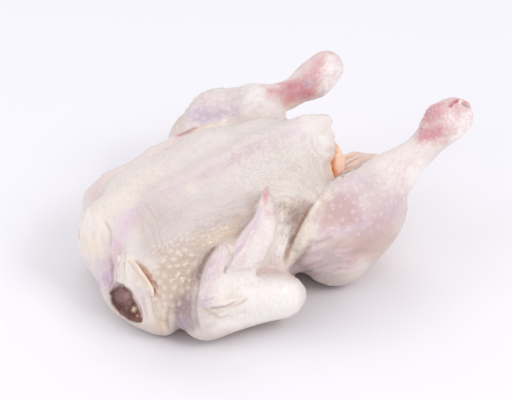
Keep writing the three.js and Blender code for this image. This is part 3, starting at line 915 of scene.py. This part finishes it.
# The side that the camera doesn't see takes the marks of the side that it does, apart from
# the neck, and its own folds, goosebumps and blotches.
unseenSide = {
    "mirrored": 0.7,  # share of the other side's marks
    "neckEnd": (-74, -62),  # mm along X, between which that share grows from none
    "foldDepth": 0.6,  # mm, as are the three below
    "bumpGap": 4.6,
    "bumpRadius": 1.6,
    "bumpHeight": 0.5,
}
unseen = ease(0.55, 1, 1 - shown)
twins = np.array([tree.find((at[0], -at[1], at[2]))[1] for at in rest])
hidden = unseen * shown[twins] * ease(*unseenSide["neckEnd"], x)
toEye = eyeAt - rest
facing = (normals * toEye).sum(axis=1) / np.linalg.norm(toEye, axis=1)
turned = unseen * ease(0.05, -0.25, facing)
lift += unseenSide["mirrored"] * hidden * turned * (lift[twins] - lift)
tint += (hidden * unseenSide["mirrored"])[:, None] * (tint[twins] - tint)
folds = cloud(rest * (1, 1, 0.45), 5, 31) + 0.5 * cloud(rest * (1, 1, 0.6), 2.6, 32)
valley = np.clip(1 - np.abs(folds) * 2.2, 0, 1)
lift -= unseenSide["foldDepth"] * turned * valley
# Tan over the unseen side, more in the folds' valleys as painted shade.
paint(everything, "tan", unseen * (0.35 + 0.35 * valley))
paint(everything, "rose", unseen * 0.6 * ease(0, 0.7, cloud(rest, 17, 33)))
paint(everything, "lilac", unseen * 0.5 * ease(0.1, 0.8, cloud(rest, 21, 34)))
paint(everything, "fat", unseen * 0.5 * ease(0.1, 0.8, cloud(rest, 19, 35)))
bumps(scatter(turned * ease(1, 4, z), unseenSide["bumpGap"], 36), unseenSide["bumpRadius"],
      unseenSide["bumpHeight"], "pale", 0.25, 37)
print("unseen side done")


# Moves the points out, and keeps the paint with the mesh.
points = rest + normals * lift[:, None]
mesh.vertices.foreach_set("co", (points * mm).ravel())
layer = mesh.color_attributes.new("tint", "FLOAT_COLOR", "POINT")
layer.data.foreach_set("color", np.c_[tint, np.ones(len(tint))].ravel())
mask = mesh.attributes.new("wet", "FLOAT", "POINT")
mask.data.foreach_set("value", wet)
mesh.update()


# A number or colour that changes over the surface.
class Value:
    def __init__(self, material, socket):
        self.material = material
        self.socket = socket

    def math(self, operation, *others):
        names = [self, *others]
        return self.material.add("ShaderNodeMath", {"operation": operation}, names)

    def __add__(self, other):
        return self.math("ADD", other)

    def __sub__(self, other):
        return self.math("SUBTRACT", other)

    def __mul__(self, other):
        return self.math("MULTIPLY", other)

    def __rsub__(self, other):
        return self.material.add("ShaderNodeMath", {"operation": "SUBTRACT"}, [other, self])

    __radd__ = __add__
    __rmul__ = __mul__


class Material:
    def __init__(self, name):
        self.data = bpy.data.materials.new(name)
        self.data.use_nodes = True
        self.tree = self.data.node_tree
        self.surface = self.tree.nodes["Principled BSDF"]

    # Adds a node: its settings first, then its sockets by number or name.
    def add(self, kind, settings=None, values=(), out=0):
        node = self.tree.nodes.new(kind)
        for key, value in (settings or {}).items():
            setattr(node, key, value)
        pairs = values.items() if isinstance(values, dict) else enumerate(values)
        for key, value in pairs:
            self.join(node.inputs[key], value)
        return Value(self, node.outputs[out])

    def join(self, socket, value):
        if isinstance(value, Value):
            self.tree.links.new(value.socket, socket)
        else:
            socket.default_value = value

    def set(self, **values):
        for key, value in values.items():
            self.join(self.surface.inputs[key.replace("_", " ")], value)


def makeSkinMaterial():
    m = Material("raw skin")
    at = m.add("ShaderNodeTexCoord", out="Object")
    base = m.add("ShaderNodeAttribute", {"attribute_name": "tint"}, out="Color")
    moist = m.add("ShaderNodeAttribute", {"attribute_name": "wet"}, out="Fac")
    speckle = m.add("ShaderNodeTexNoise", {},
                    {"Vector": at, "Scale": 300.0, "Detail": 6.0, "Roughness": 0.72})
    grain = m.add("ShaderNodeTexNoise", {}, {"Vector": at, "Scale": 1100.0, "Detail": 3.0})
    cells = m.add("ShaderNodeTexVoronoi", {"feature": "SMOOTH_F1"},
                  {"Vector": at, "Scale": 620.0, "Smoothness": 0.4})
    darker = m.add("ShaderNodeMix", {"data_type": "RGBA", "blend_type": "MULTIPLY"},
                   {0: speckle * 0.4, 6: base, 7: (0.93, 0.84, 0.81, 1)}, out=2)
    height = cells * 0.6 + grain * 0.5
    bump = m.add("ShaderNodeBump", {}, {"Strength": 0.8, "Distance": 0.0007, "Height": height},
                 out=0)
    m.set(Base_Color=darker, Normal=bump, Roughness=0.5 - moist * 0.3 + speckle * 0.1,
          Coat_Weight=moist * 0.9, Coat_Roughness=0.12, Subsurface_Weight=0.22,
          Subsurface_Radius=(1.0, 0.7, 0.55), Subsurface_Scale=0.0025)
    return m.data


rawSkin = makeSkinMaterial()
body.data.materials.append(rawSkin)
print("material done")


# Thin pieces that stand off the body, each from a line on it, its base, to a free edge, both
# in the camera's view. In mm, rise is how far the edge stands off, from its first end to its
# last, sink how far the base lies under the skin, hollow how deep the dip near the edge is,
# and the widths those of the painted borders. The dip is painted darker as shade.
flaps = {
    "neck_flap": {
        "base": [(121, 264), (121, 271), (122, 279), (126, 286), (134, 290.5), (147, 297)],
        "edge": [(129, 260), (136, 262.5), (142, 271), (148.5, 280), (153, 288), (154.5, 296)],
        "rise": (0.2, 2.0, 3.0, 3.6, 3.8, 1.8),
        "sink": 1.4,
        "hollow": 1.2,
        "sameDepth": False,  # the edge lies on the skin behind it
        "baseWidth": 6,
        "thickness": 0.9,
        "outside": "flesh",
        "baseColor": "skin",
        "edgeColor": "peach",
        "lining": "orange",
        "hollowShade": "tan",
        "edgeWidth": 2.2,
        "wetness": 0.4,
        "grid": (29, 13),
    },
    "vent_fat_1": {
        "base": [(330, 142), (331, 154), (332, 166), (335, 178)],
        "edge": [(335.5, 143), (341.5, 150), (345.5, 159), (344, 171)],
        "rise": (0.1, 0.3, 0.6, 0.6),
        "sink": 0.6,
        "hollow": 0.0,
        "sameDepth": True,  # the edge is as far from the camera as the base
        "baseWidth": 3.2,
        "thickness": 2.2,
        "outside": "apricot",
        "baseColor": "amber",
        "edgeColor": "peach",
        "lining": "peach",
        "hollowShade": "peach",
        "edgeWidth": 1.5,
        "wetness": 0.4,
        "grid": (17, 9),
    },
}


# Where the dip of a flap is, as shares of the way to its edge and, for its painted shade, in mm.
dip = {"middle": 0.62, "width": 0.16, "fromEdge": 3.2, "shadeWidth": 1.3}


# Evenly spaced points of a row of points, by their number in the row.
def resample(row, count):
    row = np.array(row, dtype=float)
    at = np.linspace(0, len(row) - 1, count)
    if row.ndim == 1:
        return np.interp(at, np.arange(len(row)), row)
    return np.stack([np.interp(at, np.arange(len(row)), part) for part in row.T], axis=1)


def makeFlap(name, flap):
    columns, rows = flap["grid"]
    base = resample(trail(flap["base"])[0], columns)
    edge = resample(trail(flap["edge"])[0], columns)
    rise = resample(flap["rise"], columns)
    if flap["sameDepth"]:
        depth = np.linalg.norm(base - eyeAt, axis=1)
        lines = [sightLine(u, v) for u, v in resample(flap["edge"], columns)]
        edge = eyeAt + np.array(lines) * depth[:, None]
    toEye = eyeAt - edge
    toEye /= np.linalg.norm(toEye, axis=1)[:, None]
    spots = []
    for t in np.linspace(0, 1, rows):
        away = rise * t**1.4 - flap["sink"] * (1 - t) ** 2
        away -= flap["hollow"] * np.exp(-(((t - dip["middle"]) / dip["width"]) ** 2))
        row = base * (1 - t) + edge * t + toEye * away[:, None]
        spots.append(row)
    spots = np.concatenate(spots)
    spots += 0.25 * cloud(spots, 3, 91)[:, None] * np.repeat(toEye[None], rows, 0).reshape(-1, 3)
    deselect()
    bpy.ops.mesh.primitive_grid_add(x_subdivisions=columns - 1, y_subdivisions=rows - 1, size=0.01)
    piece = bpy.context.active_object
    piece.name = name
    piece.data.vertices.foreach_set("co", (spots * mm).ravel())
    addModifier("SOLIDIFY", thickness=flap["thickness"] * mm, offset=0)
    addModifier("SUBSURF", levels=1)
    bpy.ops.object.mode_set(mode="EDIT")
    bpy.ops.mesh.select_all(action="SELECT")
    bpy.ops.mesh.normals_make_consistent(inside=False)
    bpy.ops.object.mode_set(mode="OBJECT")
    bpy.ops.object.shade_smooth()
    return piece, base, edge + toEye * rise[:, None]


def paintFlap(piece, flap, base, edge):
    count = len(piece.data.vertices)
    at = np.empty(count * 3)
    piece.data.vertices.foreach_get("co", at)
    at = at.reshape(-1, 3) / mm
    facing = np.empty(count * 3)
    piece.data.vertices.foreach_get("normal", facing)
    facing = facing.reshape(-1, 3)
    toEye = eyeAt - at
    toEye /= np.linalg.norm(toEye, axis=1)[:, None]
    fromEdge, fromBase = (np.min(np.linalg.norm(at[:, None] - line[None], axis=2), axis=1)
                          for line in (edge, base))
    color = np.tile(palette[flap["outside"]], (count, 1))
    color += (0.3 * cloud(at, 4, 92))[:, None] * (palette["tan"] - palette["cream"])
    border = ease(flap["edgeWidth"], flap["edgeWidth"] * 0.3, fromEdge + 0.8 * cloud(at, 3, 93))
    start = ease(flap["baseWidth"], flap["baseWidth"] * 0.3, fromBase + 0.8 * cloud(at, 3, 94))
    behind = ease(0.2, -0.3, (facing * toEye).sum(axis=1))
    # Painted shade in the dip near the edge.
    low = flap["hollow"] * np.exp(-(((fromEdge - dip["fromEdge"]) / dip["shadeWidth"]) ** 2))
    for share, part in ((start, "baseColor"), (border * 0.6, "edgeColor"), (behind, "lining"),
                        (low * 0.35, "hollowShade")):
        color += share[:, None] * (palette[flap[part]] - color)
    layer = piece.data.color_attributes.new("tint", "FLOAT_COLOR", "POINT")
    layer.data.foreach_set("color", np.c_[np.clip(color, 0, 1), np.ones(count)].ravel())
    mask = piece.data.attributes.new("wet", "FLOAT", "POINT")
    mask.data.foreach_set("value", np.full(count, flap["wetness"]))


for name, flap in flaps.items():
    piece, base, edge = makeFlap(name, flap)
    paintFlap(piece, flap, base, edge)
    piece.data.materials.append(rawSkin)
    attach(piece, "root")
print("flaps done")

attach(body, "root")
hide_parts("chicken")
